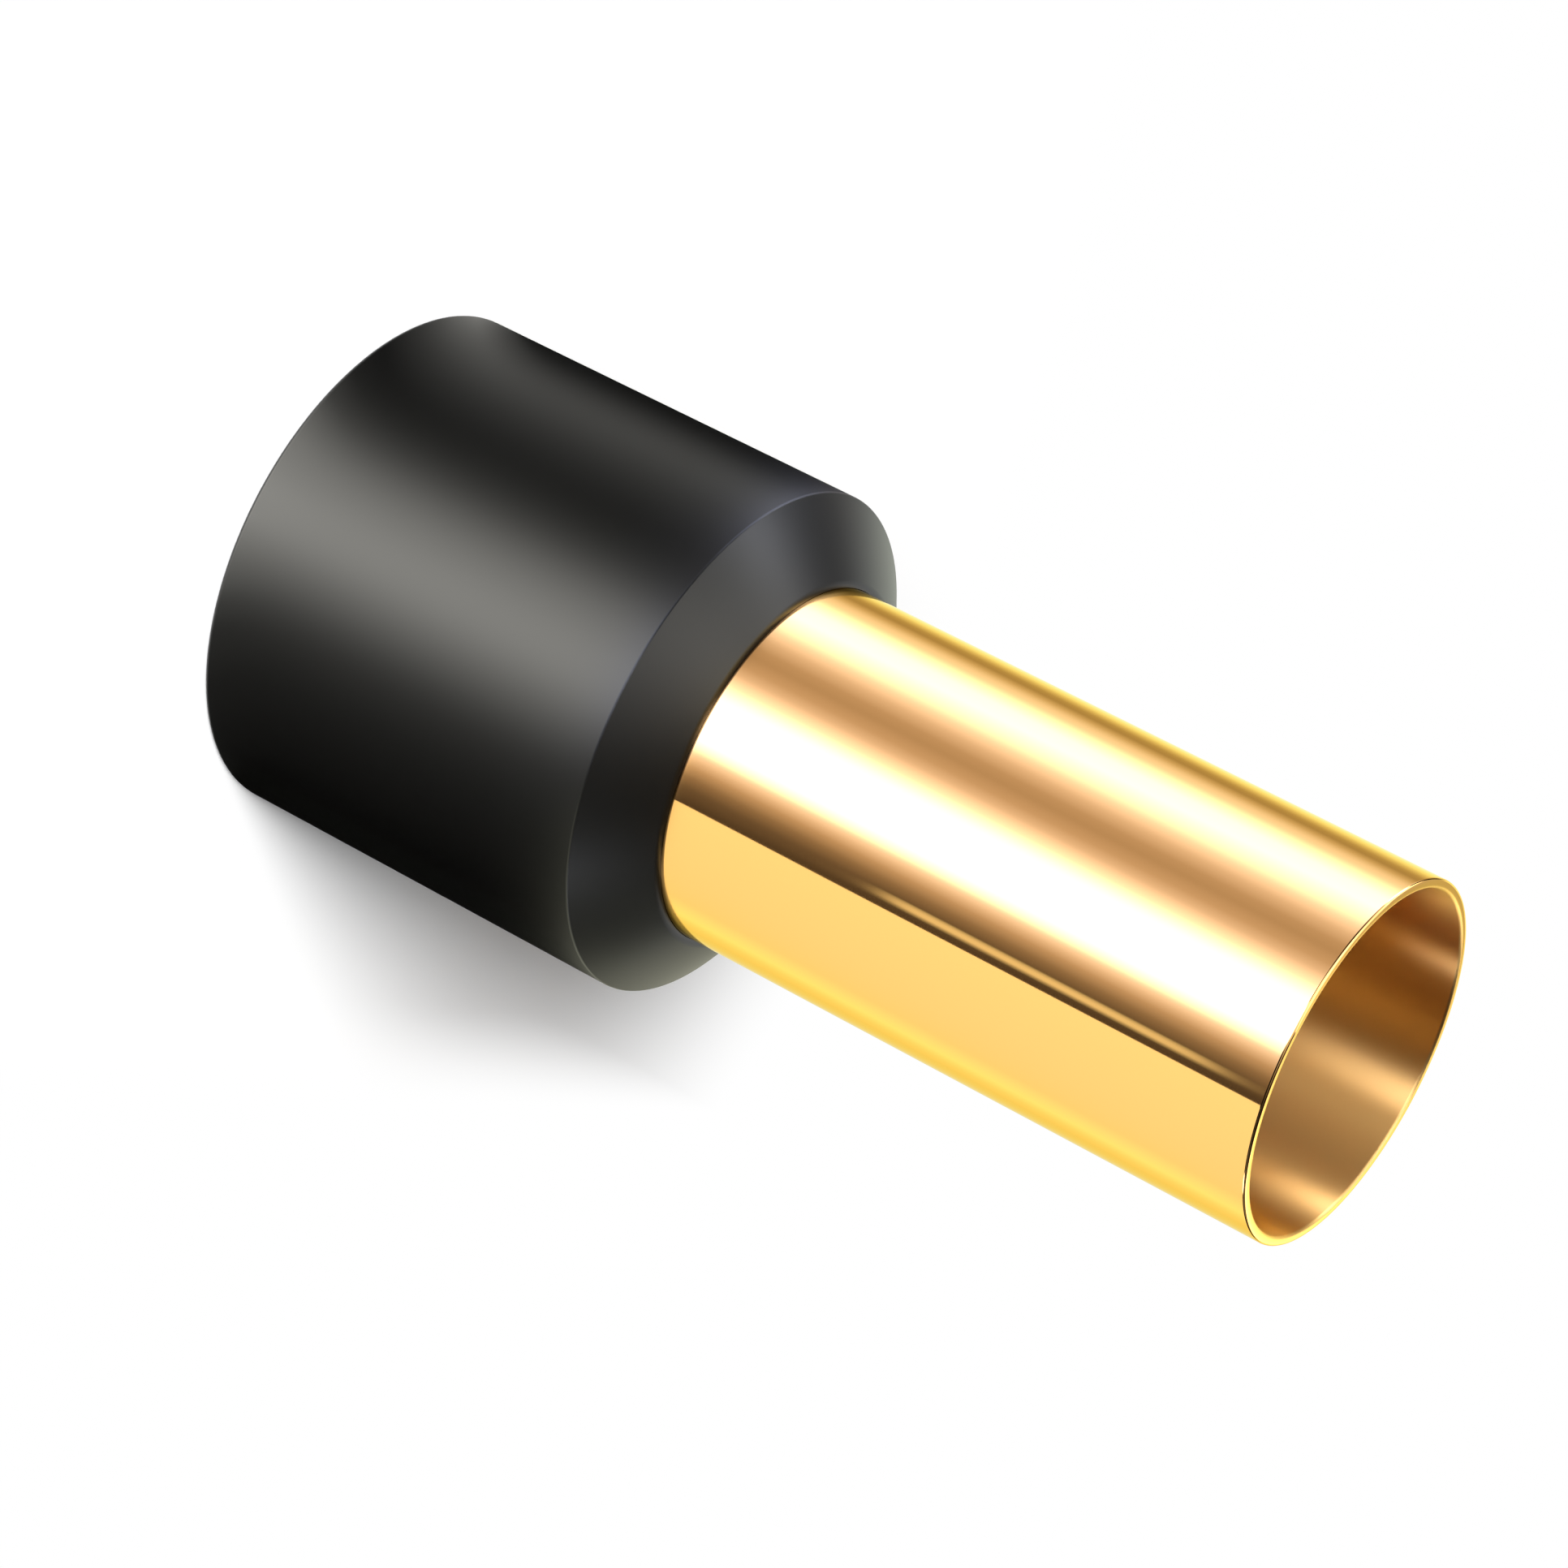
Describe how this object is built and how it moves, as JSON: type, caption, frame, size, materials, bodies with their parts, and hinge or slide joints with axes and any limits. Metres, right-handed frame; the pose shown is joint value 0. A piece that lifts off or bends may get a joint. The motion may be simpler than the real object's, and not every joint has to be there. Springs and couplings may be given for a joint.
{
  "type": "wire ferrule",
  "caption": "Insulated wire ferrule: a thin metal crimp barrel belled into a black plastic collar with a conical shoulder and an inner funnel for the strands.",
  "frame": {"origin": "centre of the collar's rear rim, at the bottom of the bounding box", "axes": "+Z along the axis from the collar's rear rim out through the barrel's mouth; the ferrule stands on the rear rim; X and Y are any two directions across it"},
  "size_m": [0.0128, 0.0128, 0.0281],
  "materials": {
    "barrel_metal": "bright drawn, gold-coloured, lightly polished",
    "collar_plastic": "moulded, black, satin"
  },
  "bodies": {
    "root": {"crimp_barrel": "barrel_metal", "insulating_collar": "collar_plastic"}
  },
  "joints": []
}
